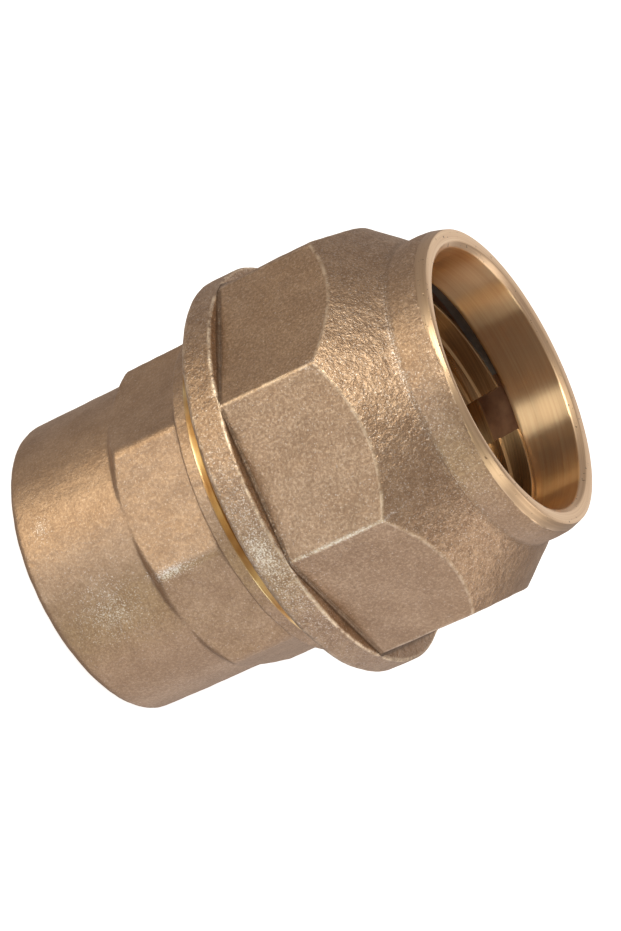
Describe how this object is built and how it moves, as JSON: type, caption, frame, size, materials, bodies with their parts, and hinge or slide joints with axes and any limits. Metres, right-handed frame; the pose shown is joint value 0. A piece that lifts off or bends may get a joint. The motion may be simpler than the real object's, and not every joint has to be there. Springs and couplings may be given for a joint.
{
  "type": "pipe union",
  "caption": "Cast compression pipe union with a female pipe thread at one end and an octagonal clamp nut over a split grip ring at the other.",
  "frame": {"origin": "centre of the body's end face, on which the fitting stands", "axes": "+Z along the pipe's axis from the body towards the nut's mouth; +X through the middle of one of the body's wrench flats"},
  "size_m": [0.0502, 0.0502, 0.0579],
  "materials": {
    "cast_body": "sand-cast gunmetal, machined on its end, flange face and threads",
    "cast_nut": "sand-cast gunmetal, machined on its lip, bore and thread",
    "ring_brass": "turned brass, slightly dull",
    "washer_brass": "stamped brass",
    "seal_rubber": "moulded black rubber"
  },
  "bodies": {
    "body": {"fitting_body": "cast_body", "thrust_washer": "washer_brass", "seal_ring": "seal_rubber"},
    "ring_carrier": {"grip_ring": "ring_brass"},
    "nut": {"clamp_nut": "cast_nut"}
  },
  "joints": [
    {"name": "nut_travel", "type": "slide", "parent": "body", "child": "ring_carrier", "axis": [0, 0, 1], "range_m": [-0.0019, 0.01071]},
    {"name": "nut_turn", "type": "hinge", "parent": "ring_carrier", "child": "nut", "pos_m": [0, 0, 0.0579], "axis": [0, 0, 1], "range_deg": [-342, 1926]}
  ],
  "couplings": [
    {"joint": "nut_travel", "follows": "nut_turn", "m_per_rad": 0.00031831}
  ]
}
